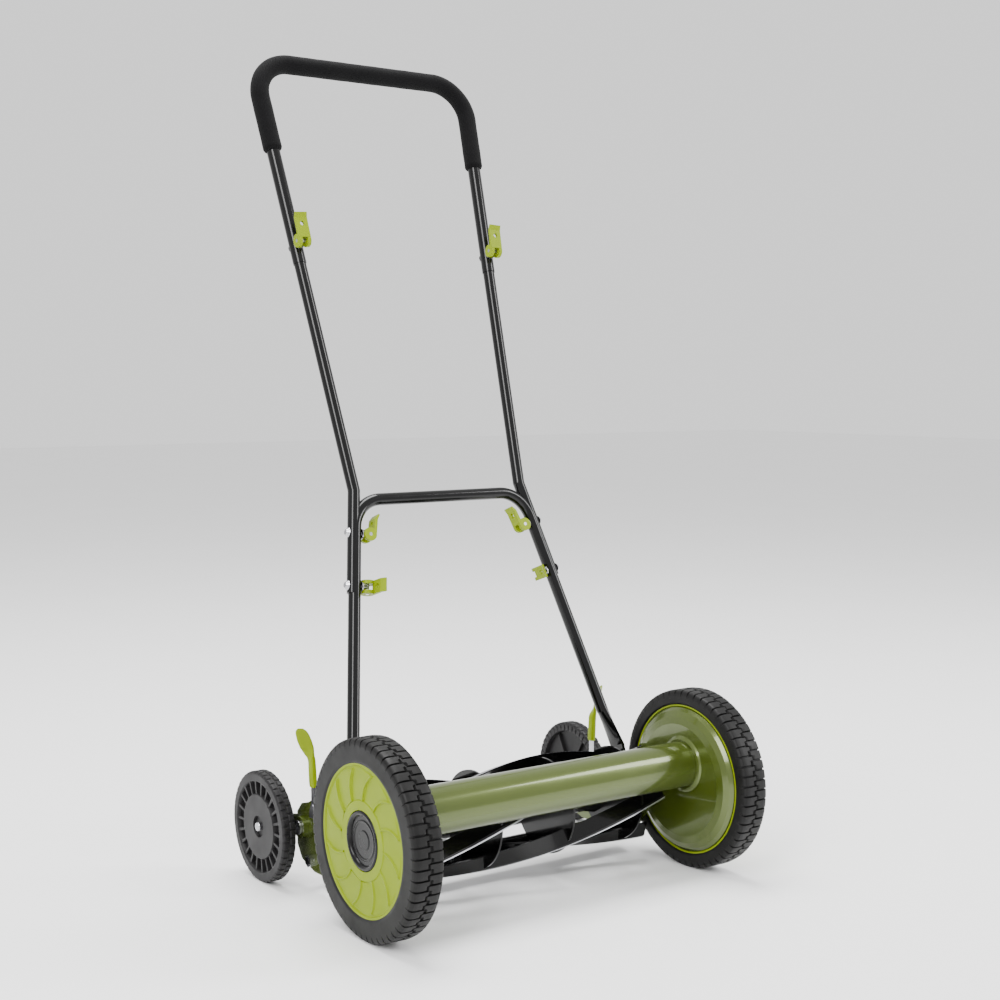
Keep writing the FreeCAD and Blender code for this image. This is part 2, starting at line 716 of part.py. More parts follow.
def rear_wheel(name, side):
    """A moulded wheel with a ring of pockets round its flat centre."""
    face = size.rear_face
    inner = face - size.rear_width
    radius = size.rear_radius
    bore = size.rear_axle_radius + size.running_gap
    profile = (
        (inner + 1, bore), (inner + 1, 13), (inner + 8, 14), (inner + 8, 62), (inner, 64),
        (inner, radius - 3), (inner + 2, radius), (face - 2, radius), (face, radius - 3),
        (face, 63), (face - 1.5, 62.5), (face - 1.5, 46), (face - 0.6, 45.5), (face - 0.6, bore),
    )
    mirrored = [(side * along, r) for along, r in profile]
    disc = turned(f"rear_disc_{name}", mirrored, y=size.rear_axle_back, z=radius)
    pocket_count = 22
    pockets = []
    for index in range(pocket_count):
        box = doc.addObject("Part::Box", f"pocket_{name}_{index}")
        bind(box, "Length", 4)
        bind(box, "Width", 15)
        bind(box, "Height", 9)
        turn = FreeCAD.Rotation(FreeCAD.Vector(1, 0, 0), 360 * index / pocket_count)
        corner = turn.multVec(FreeCAD.Vector(0, 46.8, -4.5))
        start = side * (face - 3.5) - 2
        place(box, start, size.rear_axle_back + corner.y, radius + corner.z, turn)
        pockets.append(box)
    keep(cut(f"rear_wheel_{name}", disc, pockets), f"rear_wheel_{name}")


arm_pivots = []


def height_arm(name, side):
    """The arm that carries a rear wheel, with its axle bolt, spring strip and lime paddle."""
    low, high = ordered(side * size.arm_face, side * (size.arm_face + size.arm_thick))
    outline = (
        (size.lever_back - 7, 94), (size.arm_back - 12, size.arm_height - 14),
        (size.arm_back + 10, size.arm_height - 16), (size.rear_axle_back + 3, size.rear_radius - 12),
        (size.rear_axle_back + 12, size.rear_radius), (size.rear_axle_back + 3, size.rear_radius + 12),
        (size.arm_back + 12, size.arm_height + 15), (size.lever_back + 10, 124),
        (size.lever_back - 7, 124),
    )
    plate = padded(f"arm_plate_{name}", "YZ_Plane", outline, size.arm_thick, x=low, corner=3)
    start, end = ordered(side * (size.dish_face + 0.6), side * (size.arm_face + 10))
    boss = rod(f"arm_boss_{name}", 15, start, end, size.arm_back, size.arm_height)
    body = join(f"arm_body_{name}", [plate, boss])
    bore = rod(f"arm_bore_{name}", 6 + size.running_gap, start - 1, end + 1,
               size.arm_back, size.arm_height)
    drill_start, drill_end = low - 1, high + 1
    axle_hole = rod(f"arm_axle_hole_{name}", size.rear_axle_radius, drill_start, drill_end,
                    size.rear_axle_back, size.rear_radius)
    rivet_hole = rod(f"arm_rivet_hole_{name}", 2.5, drill_start, drill_end,
                     size.lever_back + 1, 117)
    pin_y = size.arm_back + size.notch_radius * cosine(size.notch_angle)
    pin_z = size.arm_height + size.notch_radius * sine(size.notch_angle)
    pin_hole = rod(f"arm_pin_hole_{name}", 3, drill_start, drill_end, pin_y, pin_z)
    keep(cut(f"height_arm_{name}", body, [bore, axle_hole, rivet_hole, pin_hole]),
         f"height_arm_{name}")

    pivot = (
        (size.dish_face - size.plate_thick - 5, 0), (size.dish_face - size.plate_thick - 5, 10),
        (size.dish_face - size.plate_thick, 10), (size.dish_face - size.plate_thick, 6),
        (size.arm_face + 10.4, 6), (size.arm_face + 10.4, 10), (size.arm_face + 13.4, 10),
        (size.arm_face + 13.4, 0),
    )
    mirrored = [(side * along, radius) for along, radius in pivot]
    arm_pivots.append(turned(f"arm_pivot_{name}", mirrored, y=size.arm_back, z=size.arm_height))

    axle = (
        (size.arm_face - 3.5, 0), (size.arm_face - 3.5, 9), (size.arm_face, 9),
        (size.arm_face, size.rear_axle_radius), (size.rear_face - 0.2, size.rear_axle_radius),
        (size.rear_face - 0.2, size.rear_axle_radius + 1.5),
        (size.rear_face + 1.4, size.rear_axle_radius + 0.6), (size.rear_face + 1.4, 0),
    )
    mirrored = [(side * along, radius) for along, radius in axle]
    label = f"rear_axle_{name}"
    keep(turned(label, mirrored, y=size.rear_axle_back, z=size.rear_radius), label)

    outside = size.arm_face + size.arm_thick
    strip_x, _strip_end = ordered(side * outside, side * (outside + 2))
    strip = padded(
        f"strip_{name}", "YZ_Plane",
        ((size.lever_back - 4.5, 101), (size.lever_back + 11, 101), (size.lever_back + 11, 108),
         (size.lever_back + 4.5, 122), (size.lever_back + 4.5, 172), (size.lever_back - 4.5, 172)),
        2, x=strip_x, corner=1.5)
    pieces = [strip]
    spans = ((size.arm_face, outside, 2.5, size.lever_back + 1, as_size(117)),
             (outside + 2, outside + 3.5, 4, size.lever_back + 1, as_size(117)),
             (size.dish_face + 0.35, outside, 2.2, pin_y, pin_z))
    for index, (near, far, radius, y, z) in enumerate(spans):
        start, end = ordered(side * near, side * far)
        pieces.append(rod(f"lever_stud_{name}_{index}", radius, start, end, y, z))
    keep(join(f"lever_strip_{name}", pieces), f"lever_strip_{name}")
    height_paddle(name, side, strip_x)


def height_paddle(name, side, strip_x):
    """The moulded finger paddle: flat below, a thin neck, then a spoon that leans outwards."""
    label = f"height_paddle_{name}"
    body = new_body(label + "_solid", y=size.lever_back)
    # height, distance from the middle plane, half width, half thickness, twist towards X
    stations = (
        (145, 241, 6.3, 4.4, 0), (181, 242.6, 6.3, 4, 0), (190, 246.6, 7, 3, 30),
        (198, 249.6, 9, 2.7, 54), (208, 253, 10, 2.5, 54), (220, 257.2, 9, 2.2, 54),
        (227.5, 260, 5.2, 1.5, 54),
    )
    sketches = []
    for height, x, half_wide, half_thick, twist in stations:
        sketch = new_sketch(body, "XY_Plane", offset=as_size(height))
        turn = math.radians(twist)
        corners = []
        for across, along in ((-1, -0.6), (-0.5, -1), (0.5, -1), (1, -0.6),
                              (1, 0.6), (0.5, 1), (-0.5, 1), (-1, 0.6)):
            thick = half_thick * across
            wide = half_wide * along
            corners.append((as_size(side * (x + thick * math.cos(turn) + wide * math.sin(turn))),
                            as_size(wide * math.cos(turn) - thick * math.sin(turn))))
        sketches.append(draw_outline(sketch, corners))
    doc.recompute()
    loft = body.newObject("PartDesign::AdditiveLoft", label + "_loft")
    loft.Profile = sketches[0]
    loft.Sections = sketches[1:]
    loft.Ruled = True
    doc.recompute()
    room = doc.addObject("Part::Box", f"paddle_slot_{name}")
    bind(room, "Length", 2)
    bind(room, "Width", 9)
    bind(room, "Height", 32)
    place(room, strip_x, size.lever_back - 4.5, 140)
    keep(cut(f"paddle_slotted_{name}", body, [room]), label)


# ---------------------------------------------------------------------- handle

SLOPE_TURN = FreeCAD.Rotation(FreeCAD.Vector(1, 0, 0), size.handle_pitch.value)


def handle_body(label):
    """A body whose own XY plane is the plane of the handle; its +Z faces the front."""
    body = new_body(label, y=size.handle_back, turn=SLOPE_TURN)
    bind(body, "Placement.Rotation.Angle", size.handle_pitch)
    return body


def handle_spot(across, along, ahead=0.0):
    """A point of the handle frame, as a place in the mower's frame."""
    local = FreeCAD.Vector(across, along, ahead)
    base = FreeCAD.Vector(0, (axle_y + size.handle_back).value, 0)
    return base + SLOPE_TURN.multVec(local)


def bent_tube(label, cross, half, bend, slope_sign, slope, end_along, radii):
    """A bar across the handle with a bent arm at each end, as a pipe of the given radii."""
    body = handle_body(label)
    profile = new_sketch(body, "YZ_Plane")
    for radius in radii:
        draw_circle(profile, cross, 0, radius)
    turn = math.radians(90 - slope_sign * slope.value)
    centre = FreeCAD.Vector(half.value, cross.value - bend.value, 0)
    start_angle = math.pi / 2 - turn
    bend_end = centre + FreeCAD.Vector(math.cos(start_angle), math.sin(start_angle), 0) * bend.value
    tip_along = as_size(end_along)
    reach = (bend_end.y - tip_along.value) / math.cos(math.radians(slope.value))
    direction = FreeCAD.Vector(slope_sign * math.sin(math.radians(slope.value)),
                               -math.cos(math.radians(slope.value)), 0)
    tip = bend_end + direction * reach
    path = new_sketch(body, "XY_Plane")
    path.addGeometry(Part.LineSegment(FreeCAD.Vector(0, cross.value, 0),
                                      FreeCAD.Vector(half.value, cross.value, 0)))
    path.addGeometry(Part.ArcOfCircle(
        Part.Circle(centre, FreeCAD.Vector(0, 0, 1), bend.value), start_angle, math.pi / 2))
    path.addGeometry(Part.LineSegment(bend_end, tip))
    path.addConstraint(Sketcher.Constraint("Tangent", 0, 2, 1, 2))
    path.addConstraint(Sketcher.Constraint("Tangent", 1, 1, 2, 1))
    pin_point(path, 0, 1, 0, cross)
    pin_point(path, 0, 2, half, cross)
    index = path.addConstraint(Sketcher.Constraint("Radius", 1, bend.value))
    path.setExpression(f"Constraints[{index}]", bend.text)
    index = path.addConstraint(Sketcher.Constraint("DistanceY", -1, 1, 2, 2, tip_along.value))
    path.setExpression(f"Constraints[{index}]", tip_along.text)
    doc.recompute()
    pipe = body.newObject("PartDesign::AdditivePipe", label + "_pipe")
    pipe.Profile = (profile, [""])
    pipe.Spine = (path, ["Edge1", "Edge2", "Edge3"])
    doc.recompute()
    mirror = body.newObject("PartDesign::Mirrored", label + "_both_sides")
    mirror.Originals = [pipe]
    plane = next(item for item in body.Origin.OriginFeatures if item.Role == "YZ_Plane")
    mirror.MirrorPlane = (plane, [""])
    body.Tip = mirror
    doc.recompute()
    return body


def handle_rod(label, radius, length, start, direction):
    """A round bar from a point of the handle frame along a direction of that frame."""
    cylinder = doc.addObject("Part::Cylinder", label)
    bind(cylinder, "Radius", radius)
    bind(cylinder, "Height", length)
    aim = FreeCAD.Rotation(FreeCAD.Vector(0, 0, 1), SLOPE_TURN.multVec(direction))
    cylinder.Placement = FreeCAD.Placement(handle_spot(*start), aim)
    return cylinder


def leg_half(along):
    """Half the distance between the legs at a place along the handle."""
    slope = math.tan(math.radians(size.leg_slope.value))
    return leg_half_at_cross.value + (size.cross_along.value - along) * slope


def arm_half(along):
    """Half the distance between the upper arms at a place along the handle."""
    slope = math.tan(math.radians(size.arm_slope.value))
    return arm_half_at_grip.value - (size.grip_along.value - along) * slope


def cam_joints():
    """Every clamped joint: its name, bolt place, outward bolt direction and lever direction."""
    joints = []
    lean = math.radians(size.leg_slope.value)
    ahead = FreeCAD.Vector(0, 0, 1)
    for name, side in SIDES:
        inward = FreeCAD.Vector(-side * math.cos(lean), -math.sin(lean), 0)
        up_leg = FreeCAD.Vector(-side * math.sin(lean), math.cos(lean), 0)
        high = size.cam_bolt_high.value
        low = size.cam_bolt_low.value
        upper = size.cam_bolt_upper.value
        up_arm = FreeCAD.Vector(side * math.sin(math.radians(size.arm_slope.value)),
                                math.cos(math.radians(size.arm_slope.value)), 0)
        joints.append((f"high_{name}", (side * leg_half(high), high), inward, up_leg,
                       size.leg_radius.value, size.leg_radius.value + size.crimp_offset.value,
                       size.cam_length))
        joints.append((f"low_{name}", (side * leg_half(low), low), inward, ahead,
                       size.leg_radius.value, size.leg_radius.value + size.crimp_offset.value,
                       size.cam_length))
        joints.append((f"upper_{name}", (side * arm_half(upper), upper), ahead, up_arm,
                       size.upper_radius.value, size.upper_radius.value, size.cam_length_upper))
    return joints


def bolt_holes(names, radius):
    """Drill tools along the bolts of the named joints."""
    tools = []
    for name, spot, outward, *_rest in cam_joints():
        if name in names:
            start = FreeCAD.Vector(spot[0], spot[1], 0) - outward * 20
            tools.append(handle_rod(f"drill_{name}_{len(tools)}", radius, 40, tuple(start), outward))
    return tools


def cam_clamp(joint):
    """A bolt with a domed head, a washer and a cross pin, and the cam lever on the pin."""
    name, spot, outward, lever, near, far, length = joint
    middle = FreeCAD.Vector(spot[0], spot[1], 0)
    pin_at = near + size.washer_thick.value + size.cam_radius.value + 0.3
    axis = lever.cross(outward)
    shank = handle_rod(f"shank_{name}", size.bolt_radius, far + pin_at,
                       tuple(middle - outward * far), outward)
    half_pin = size.cam_width.value / 2
    pin = handle_rod(f"pin_{name}", size.pin_radius, 2 * half_pin,
                     tuple(middle + outward * pin_at - axis * half_pin), axis)
    dome = doc.addObject("Part::Cone", f"dome_{name}")
    bind(dome, "Radius1", size.head_radius)
    bind(dome, "Radius2", size.head_radius * 0.55)
    bind(dome, "Height", size.head_height)
    aim = FreeCAD.Rotation(FreeCAD.Vector(0, 0, 1), SLOPE_TURN.multVec(outward * -1))
    dome.Placement = FreeCAD.Placement(handle_spot(*(middle - outward * far)), aim)
    washer = handle_rod(f"washer_{name}", size.head_radius + 0.5, size.washer_thick,
                        tuple(middle + outward * near), outward)
    bolt = join(f"bolt_{name}", [shank, pin, dome, washer])

    half = size.cam_width / 2
    cam = new_body(f"cam_body_{name}")
    side_view = draw_outline(
        new_sketch(cam, "YZ_Plane"),
        ((size.cam_radius * 0.55, size.cam_radius - size.cam_sheet - 0.5),
         (length - 4, size.cam_radius - size.cam_sheet + 1.5),
         (length + 3, size.cam_radius + 2.5), (length + 2, size.cam_radius + 4.5),
         (length - 5, size.cam_radius + 1.5), (size.cam_radius * 0.2, size.cam_radius)))
    blade = cam.newObject("PartDesign::Pad", f"cam_blade_{name}")
    blade.Profile = side_view
    bind(blade, "Length", size.cam_width)
    doc.recompute()
    cheeks = []
    for index, start in enumerate((as_size(0), size.cam_width - 5)):
        cheek = doc.addObject("Part::Cylinder", f"cheek_{name}_{index}")
        bind(cheek, "Radius", size.cam_radius)
        bind(cheek, "Height", 5)
        cheek.Placement = FreeCAD.Placement(FreeCAD.Vector(start.value, 0, 0), ALONG_X)
        cheeks.append(cheek)
    room = doc.addObject("Part::Box", f"cam_room_{name}")
    bind(room, "Length", size.cam_width - 10)
    bind(room, "Width", 14)
    bind(room, "Height", 22)
    room.Placement = FreeCAD.Placement(FreeCAD.Vector(5, -9, -14), FreeCAD.Rotation())
    hole = doc.addObject("Part::Cylinder", f"cam_hole_{name}")
    bind(hole, "Radius", 3.4)
    bind(hole, "Height", 30)
    hole.Placement = FreeCAD.Placement(
        FreeCAD.Vector(half.value, length.value * 0.62, -8), FreeCAD.Rotation())
    bore = doc.addObject("Part::Cylinder", f"cam_bore_{name}")
    bind(bore, "Radius", size.pin_radius + size.running_gap)
    bind(bore, "Height", size.cam_width + 2)
    bore.Placement = FreeCAD.Placement(FreeCAD.Vector(-1, 0, 0), ALONG_X)
    cam.Placement = FreeCAD.Placement()
    for axis_name in "xyz":
        cam.setExpression(f"Placement.Base.{axis_name}", None)
    solid = join(f"cam_solid_{name}", [cam] + cheeks)
    lever_piece = cut(f"cam_lever_{name}", solid, [room, hole, bore])
    frame = FreeCAD.Rotation(SLOPE_TURN.multVec(lever.cross(outward)), SLOPE_TURN.multVec(lever),
                             SLOPE_TURN.multVec(outward), "XYZ")
    corner = middle + outward * pin_at - axis * half.value
    lever_piece.Placement = FreeCAD.Placement(handle_spot(*corner), frame)
    keep(lever_piece, f"cam_lever_{name}")
    return bolt


def lower_handle():
    """The inverted U whose legs end in flattened tongues for the pivot bolts."""
    hoop = bent_tube("leg_hoop", size.cross_along, size.cross_half, size.cross_bend, 1,
                     size.leg_slope, size.round_end - 6,
                     (size.leg_radius, size.leg_radius - size.tube_sheet))
    pieces = [hoop]
    for name, side in SIDES:
        tongue = handle_body(f"tongue_{name}")
        round_along = size.round_end
        circle = new_sketch(tongue, "XZ_Plane", offset=-round_along)
        draw_circle(circle, side * leg_half(round_along.value), 0, size.leg_radius)
        flat_half = size.tongue_wide / 2
        near = side * (size.tongue_face - size.tongue_thick)
        far = side * size.tongue_face
        flat = new_sketch(tongue, "XZ_Plane", offset=-size.tongue_start)
        draw_outline(flat, ((near, -flat_half), (far, -flat_half), (far, flat_half),
                            (near, flat_half)))
        doc.recompute()
        loft = tongue.newObject("PartDesign::AdditiveLoft", f"tongue_loft_{name}")
        loft.Profile = circle
        loft.Sections = [flat]
        loft.Ruled = False
        doc.recompute()
        pieces.append(tongue)
        blade = handle_body(f"tongue_blade_{name}")
        outline = draw_outline(
            new_sketch(blade, "YZ_Plane", offset=side * size.tongue_face
                       - (size.tongue_thick if side > 0 else 0)),
            ((size.tongue_start, -flat_half), (size.tongue_end + 7, -flat_half),
             (size.tongue_end, -flat_half + 8), (size.tongue_end, flat_half - 8),
             (size.tongue_end + 7, flat_half), (size.tongue_start, flat_half)))
        pad = blade.newObject("PartDesign::Pad", f"tongue_pad_{name}")
        pad.Profile = outline
        bind(pad, "Length", size.tongue_thick)
        pieces.append(blade)
    frame = join("lower_handle_solid", pieces)
    holes = bolt_holes(("high_left", "low_left", "high_right", "low_right"), size.bolt_radius)
    reach = size.tongue_face + 2
    holes.append(rod("pivot_drill", 5 + size.running_gap, -reach, reach, pivot_y, pivot_z))
    keep(cut("lower_handle", frame, holes), "lower_handle")


def middle_tubes():
    """The tubes between the U and the grip; their lower ends are crimped round the legs."""
    for name, side in SIDES:
        lean = math.radians(size.leg_slope.value)
        rise = math.radians(size.arm_slope.value)
        up_leg = FreeCAD.Vector(-side * math.sin(lean), math.cos(lean), 0)
        up_arm = FreeCAD.Vector(side * math.sin(rise), math.cos(rise), 0)
        bend = FreeCAD.Vector(side * mid_bend_half.value, mid_bend.value, 0)
        lower_length = (mid_bend - size.mid_end) / cosine(size.leg_slope)
        upper_length = (size.upper_end + size.socket_depth - mid_bend) / cosine(size.arm_slope)
        lower = handle_rod(f"crimp_{name}", size.leg_radius, lower_length,
                           tuple(bend - up_leg * lower_length.value), up_leg)
        upper = handle_rod(f"mid_upper_{name}", size.leg_radius, upper_length, tuple(bend), up_arm)
        knee = doc.addObject("Part::Sphere", f"mid_knee_{name}")
        bind(knee, "Radius", size.leg_radius)
        knee.Placement = FreeCAD.Placement(handle_spot(*bend), FreeCAD.Rotation())
        tube = join(f"mid_solid_{name}", [lower, upper, knee])
        bore_start = bend + up_arm * 18
        bore = handle_rod(f"mid_bore_{name}", size.leg_radius - size.tube_sheet, upper_length,
                          tuple(bore_start), up_arm)
        clearance = bent_tube(f"leg_room_{name}", size.cross_along, size.cross_half,
                              size.cross_bend, 1, size.leg_slope, 380, (size.leg_radius + 0.05,))
        holes = bolt_holes((f"high_{name}", f"low_{name}", f"upper_{name}"), size.bolt_radius)
        keep(cut(f"mid_tube_{name}", tube, [bore, clearance] + holes), f"mid_tube_{name}")


def upper_handle():
    """The top bow that slips over the middle tubes, and the foam grip round it."""
    bow = bent_tube("bow", size.grip_along, size.grip_half, size.grip_bend, -1, size.arm_slope,
                    size.upper_end, (size.upper_radius, size.upper_bore))
    holes = bolt_holes(("upper_left", "upper_right"), size.bolt_radius)
    keep(cut("upper_handle", bow, holes), "upper_handle")
    grip = bent_tube("foam_grip", size.grip_along, size.grip_half, size.grip_bend, -1,
                     size.arm_slope, size.grip_end, (size.grip_radius, size.upper_radius + 0.05))
    keep(grip, "foam_grip")


def pivot_bolts():
    """The bolt on each side that the handle swings on, and the washer beside its foot."""
    bolts = []
    washers = []
    for name, side in SIDES:
        inner = size.tongue_face - size.tongue_thick
        profile = (
            (inner - 3, 0), (inner - 3, 8), (inner - 0.3, 8), (inner - 0.3, 5),
            (size.dish_face, 5), (size.dish_face, 8.5), (size.dish_face + 5, 8.5),
            (size.dish_face + 5, 0),
        )
        mirrored = [(side * along, radius) for along, radius in profile]
        bolts.append(turned(f"pivot_bolt_{name}", mirrored, y=pivot_y, z=pivot_z))
        start, end = ordered(side * (size.tongue_face + 0.3),
                             side * (size.dish_face - size.plate_thick))
        disc = rod(f"pivot_washer_disc_{name}", 9, start, end, pivot_y, pivot_z)
        hole = rod(f"pivot_washer_hole_{name}", 5, start - 1, end + 1, pivot_y, pivot_z)
        washers.append(cut(f"pivot_washer_{name}", disc, [hole]))
    group("pivot_bolts", bolts)
    group("pivot_washers", washers)


# ----------------------------------------------------------------------- build

for side_name, side_sign in SIDES:
    front_wheel(side_name, side_sign)
    drive_gears(side_name, side_sign)
    side_cover(side_name, side_sign)
    side_plate(side_name, side_sign)
    rear_wheel(side_name, side_sign)
    height_arm(side_name, side_sign)
front_tube()
front_axles()
cover_rivets()
group("arm_pivots", arm_pivots)
reel_bearings()
knife_assembly()
tie_rod()
cutting_reel()
lower_handle()
middle_tubes()
upper_handle()
pivot_bolts()
clamp_bolts = [cam_clamp(joint) for joint in cam_joints()]
group("clamp_bolts", clamp_bolts)
doc.recompute()

for item in doc.Objects:
    if "Invalid" in item.State or "Error" in item.State:
        raise RuntimeError(f"{item.Label} did not build: {item.State}")
os.makedirs("parts", exist_ok=True)
for label, feature in sub_parts.items():
    shape = feature.Shape
    if shape.isNull() or not shape.isValid() or not shape.Solids:
        raise RuntimeError(f"{label} has no sound shape")
    shape.exportStep(f"parts/{label}.step")
print(len(sub_parts), "sub-parts written")
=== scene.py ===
# %% [markdown]
# # Reel mower
# A push mower: two geared front wheels spin a helical reel against a fixed bed knife.
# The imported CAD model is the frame. This script gives it finishes, and makes the moulded,
# soft and treaded pieces as fine surfaces. Lengths are in metres, +Z is up, -Y is the front.

# %% Load the frame
import json
import math
import bpy
import numpy as np
from mathutils import Matrix, Vector


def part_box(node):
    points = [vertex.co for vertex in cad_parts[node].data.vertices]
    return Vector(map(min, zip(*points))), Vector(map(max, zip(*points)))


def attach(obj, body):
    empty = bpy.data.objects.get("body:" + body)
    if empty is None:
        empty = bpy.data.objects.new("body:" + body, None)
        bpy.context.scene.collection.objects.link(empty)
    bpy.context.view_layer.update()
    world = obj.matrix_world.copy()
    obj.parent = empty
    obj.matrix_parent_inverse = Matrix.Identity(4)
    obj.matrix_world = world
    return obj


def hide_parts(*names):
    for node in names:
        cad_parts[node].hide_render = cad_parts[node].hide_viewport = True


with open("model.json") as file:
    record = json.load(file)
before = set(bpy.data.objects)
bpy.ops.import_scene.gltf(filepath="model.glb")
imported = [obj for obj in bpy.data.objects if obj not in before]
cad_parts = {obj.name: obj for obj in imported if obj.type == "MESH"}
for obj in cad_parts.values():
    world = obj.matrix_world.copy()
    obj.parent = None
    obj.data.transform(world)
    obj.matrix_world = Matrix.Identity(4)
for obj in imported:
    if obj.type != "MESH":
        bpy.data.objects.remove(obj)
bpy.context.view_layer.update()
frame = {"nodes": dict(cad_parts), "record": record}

nodes = frame["nodes"]
SIDES = (("left", -1.0), ("right", 1.0))

# %% [markdown]
# ## Surfaces from formulas
# Every new piece is a sheet of points on a grid of two parameters. One parameter often closes
# on itself, as round a wheel. Faces are counted off the grid in whole arrays, so a tread of
# many thousand faces costs no more code than a plain ring.

# %% Grid surfaces


def grid_faces(rows, columns, wrap_rows):
    """Quads between neighbouring grid points; columns always close, rows close if asked."""
    row = np.arange(rows if wrap_rows else rows - 1)[:, None]
    column = np.arange(columns)[None, :]
    following_row = (row + 1) % rows
    following = (column + 1) % columns
    corners = (row * columns + column, row * columns + following,
               following_row * columns + following, following_row * columns + column)
    return np.stack(np.broadcast_arrays(*corners), -1).reshape(-1, 4)


def signed_volume(points, faces):
    """One sixth of the sum of the box products of each triangle: positive if faces look out."""
    a, b, c = (points[faces[:, index]] for index in (0, 1, 2))
    volume = np.einsum("ij,ij->i", a, np.cross(b, c)).sum()
    if faces.shape[1] == 4:
        d = points[faces[:, 3]]
        volume += np.einsum("ij,ij->i", a, np.cross(c, d)).sum()
    return volume / 6


def surface(name, grid, wrap_rows, crease=35.0):
    """A closed mesh from a (rows, columns, 3) grid; open rows get a fan of faces at each end."""
    rows, columns = grid.shape[:2]
    points = grid.reshape(-1, 3)
    quads = grid_faces(rows, columns, wrap_rows)
    fans = np.empty((0, 3), int)
    if not wrap_rows:
        column = np.arange(columns)
        following = (column + 1) % columns
        last = (rows - 1) * columns
        centre = len(points)
        points = np.vstack([points, grid[0].mean(0), grid[-1].mean(0)])
        fans = np.vstack([
            np.stack([np.full(columns, centre), following, column], 1),
            np.stack([np.full(columns, centre + 1), last + column, last + following], 1)])
    volume = signed_volume(points, quads)
    if len(fans):
        volume += signed_volume(points, fans)
    if volume < 0:
        quads, fans = quads[:, ::-1], fans[:, ::-1]
    mesh = bpy.data.meshes.new(name)
    mesh.from_pydata(points.tolist(), [], quads.tolist() + fans.tolist())
    mesh.polygons.foreach_set("use_smooth", np.ones(len(mesh.polygons), bool))
    mesh.set_sharp_from_angle(angle=math.radians(crease))
    piece = bpy.data.objects.new(name, mesh)
    bpy.context.scene.collection.objects.link(piece)
    print(name, len(quads) * 2 + len(fans), "triangles")
    return piece


def resample(outline, step, closed=True):
    """Points at about equal steps along an outline that keep each of its corners."""
    outline = np.asarray(outline, float)
    ends = np.roll(outline, -1, 0) if closed else outline[1:]
    starts = outline if closed else outline[:-1]
    runs = []
    for start, end in zip(starts, ends):
        count = max(1, int(round(np.linalg.norm(end - start) / step)))
        share = np.arange(count)[:, None] / count
        runs.append(start + (end - start) * share)
    return np.vstack(runs)


def spun(name, outline, axis_y, axis_z, count, step, shape=None, crease=35.0):
    """An outline of (x, radius) turned about an axis along X, after shape(x, r, turn) moves it."""
    profile = resample(outline, step)
    turn = np.linspace(0, 2 * np.pi, count, endpoint=False)[None, :]
    x = np.repeat(profile[:, 0][:, None], count, 1)
    radius = np.repeat(profile[:, 1][:, None], count, 1)
    if shape:
        x, radius = shape(x, radius, turn)
    grid = np.stack([x, axis_y + radius * np.cos(turn), axis_z + radius * np.sin(turn)], -1)
    return surface(name, grid, True, crease)


def smooth_step(low, high, value):
    """0 below low, 1 above high, and an S-curve between."""
    share = np.clip((value - low) / (high - low), 0, 1)
    return share * share * (3 - 2 * share)


# %% [markdown]
# ## Finishes
# A finish has a colour that drifts slightly, a roughness that varies, and a fine relief, each
# at the scale of the real material: flakes in metallic paint, orange peel in powder coat,
# pores in foam. All of them use Object coordinates, so they stay put when a part turns.

# %% Material helper


def finish(name, colour, second=None, rough=(0.3, 0.4), metallic=0.0, coat=0.0, coat_rough=0.05,
           grain=300.0, relief=0.00002, relief_scale=900.0, stretch=(1, 1, 1), cells=False,
           sheen=0.0, specular=0.5):
    """A principled finish from two colours, a roughness range and one relief texture."""
    material = bpy.data.materials.new(name)
    material.use_nodes = True
    tree = material.node_tree
    new, link = tree.nodes.new, tree.links.new
    shader = tree.nodes["Principled BSDF"]
    shader.inputs["Metallic"].default_value = metallic
    shader.inputs["Coat Weight"].default_value = coat
    shader.inputs["Coat Roughness"].default_value = coat_rough
    shader.inputs["Sheen Weight"].default_value = sheen
    shader.inputs["Specular IOR Level"].default_value = specular
    coordinates = new("ShaderNodeTexCoord")
    mapping = new("ShaderNodeMapping")
    mapping.inputs["Scale"].default_value = stretch
    link(coordinates.outputs["Object"], mapping.inputs["Vector"])
    drift = new("ShaderNodeTexNoise")
    drift.inputs["Scale"].default_value = grain
    drift.inputs["Detail"].default_value = 4
    link(mapping.outputs["Vector"], drift.inputs["Vector"])
    ramp = new("ShaderNodeValToRGB")
    ramp.color_ramp.elements[0].position = 0.35
    ramp.color_ramp.elements[1].position = 0.65
    second = second or [channel * 0.82 for channel in colour]
    ramp.color_ramp.elements[0].color = (*second, 1)
    ramp.color_ramp.elements[1].color = (*colour, 1)
    link(drift.outputs["Fac"], ramp.inputs["Fac"])
    link(ramp.outputs["Color"], shader.inputs["Base Color"])
    wear = new("ShaderNodeTexNoise")
    wear.inputs["Scale"].default_value = 35
    wear.inputs["Detail"].default_value = 6
    link(coordinates.outputs["Object"], wear.inputs["Vector"])
    spread = new("ShaderNodeMapRange")
    spread.inputs["From Min"].default_value = 0.3
    spread.inputs["From Max"].default_value = 0.7
    spread.inputs["To Min"].default_value, spread.inputs["To Max"].default_value = rough
    link(wear.outputs["Fac"], spread.inputs["Value"])
    link(spread.outputs["Result"], shader.inputs["Roughness"])
    bump = new("ShaderNodeBump")
    bump.inputs["Strength"].default_value = 1
    bump.inputs["Distance"].default_value = relief
    texture = new("ShaderNodeTexVoronoi" if cells else "ShaderNodeTexNoise")
    texture.inputs["Scale"].default_value = relief_scale
    link(mapping.outputs["Vector"], texture.inputs["Vector"])
    link(texture.outputs["Distance" if cells else "Fac"], bump.inputs["Height"])
    link(bump.outputs["Normal"], shader.inputs["Normal"])
    return material


